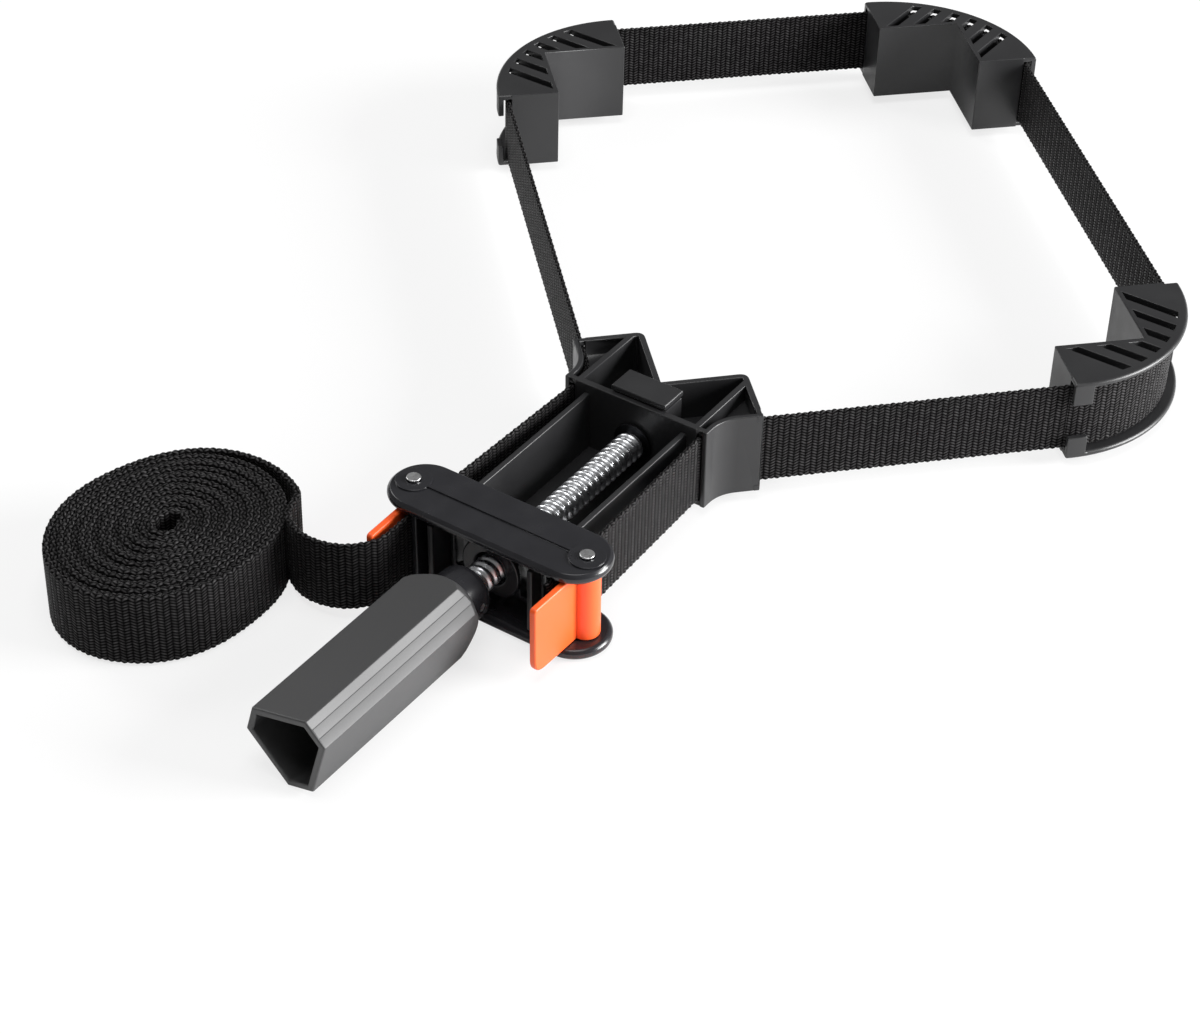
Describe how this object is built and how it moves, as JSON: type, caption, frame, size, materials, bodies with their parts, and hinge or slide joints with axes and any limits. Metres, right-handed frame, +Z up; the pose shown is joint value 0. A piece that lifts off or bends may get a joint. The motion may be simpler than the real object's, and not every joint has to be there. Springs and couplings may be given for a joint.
{
  "type": "band clamp",
  "caption": "Band clamp with loose corner jaws, a screw tensioner whose crosshead grips the strap with cam levers, and the spare strap rolled up.",
  "frame": {"origin": "under the middle of the whole clamp, on the surface that it lies on", "axes": "+Z up, +X and +Y along the two sides of the rectangular work, the screw runs out towards -X and -Y"},
  "size_m": [0.3844, 0.3872, 0.0361],
  "materials": {
    "black_plastic": "moulded, satin",
    "handle_plastic": "moulded, satin",
    "orange_plastic": "moulded, satin",
    "zinc_steel": "bright zinc",
    "bright_steel": "bright",
    "webbing": "woven webbing"
  },
  "bodies": {
    "front_block": {"front_block": "black_plastic", "bearing_cap": "black_plastic", "thrust_washer": "zinc_steel", "strap_keeper_right": "webbing", "strap_keeper_left": "webbing", "strap_tool_right": "webbing", "strap_tool_left": "webbing", "strap_front": "webbing", "strap_left": "webbing"},
    "screw_and_handle": {"screw": "zinc_steel", "retaining_ring": "zinc_steel", "handle": "handle_plastic", "handle_pin": "zinc_steel"},
    "crosshead": {"crosshead": "black_plastic", "screw_nut": "zinc_steel", "rivet_right": "bright_steel", "rivet_left": "bright_steel", "strap_end_right": "webbing", "strap_tail": "webbing", "strap_roll": "webbing"},
    "lever_right": {"lever_right": "orange_plastic"},
    "lever_left": {"lever_left": "orange_plastic"},
    "jaw_front_right": {"jaw_front_right": "black_plastic", "strap_front_right": "webbing", "strap_right": "webbing"},
    "jaw_back_left": {"jaw_back_left": "black_plastic", "strap_back_left": "webbing", "strap_back": "webbing"},
    "jaw_back_right": {"jaw_back_right": "black_plastic", "strap_back_right": "webbing"}
  },
  "joints": [
    {"name": "handle_turn", "type": "hinge", "parent": "front_block", "child": "screw_and_handle", "pos_m": [-0.02904, -0.08493, 0.01774], "axis": [-0.707, -0.707, -0.0175], "range_deg": [-120, 5760]},
    {"name": "crosshead_slide", "type": "slide", "parent": "front_block", "child": "crosshead", "axis": [-0.707, -0.707, -0.0175], "range_m": [-0.0481, 0.0011], "deforming": ["strap_tool_right", "strap_tool_left"]},
    {"name": "lever_right_turn", "type": "hinge", "parent": "crosshead", "child": "lever_right", "pos_m": [-0.03349, -0.13492, 0.01706], "axis": [-0.0123, -0.0123, 0.9998], "range_deg": [0, 100]},
    {"name": "lever_left_turn", "type": "hinge", "parent": "crosshead", "child": "lever_left", "pos_m": [-0.07903, -0.08938, 0.01706], "axis": [0.0123, 0.0123, -0.9998], "range_deg": [0, 100]},
    {"name": "jaw_front_right_slide", "type": "slide", "parent": "front_block", "child": "jaw_front_right", "axis": [1, 0, 0], "range_m": [-0.09, 0], "deforming": ["strap_front"]},
    {"name": "jaw_back_left_slide", "type": "slide", "parent": "front_block", "child": "jaw_back_left", "axis": [0, 1, 0], "range_m": [-0.14, 0], "deforming": ["strap_left", "strap_right"]},
    {"name": "jaw_back_right_slide", "type": "slide", "parent": "jaw_back_left", "child": "jaw_back_right", "axis": [1, 0, 0], "range_m": [-0.0901, 0.0001], "deforming": ["strap_back"]}
  ],
  "couplings": [
    {"joint": "crosshead_slide", "follows": "handle_turn", "m_per_rad": -0.00047746},
    {"joint": "jaw_back_right_slide", "follows": "jaw_front_right_slide", "ratio": 1}
  ]
}
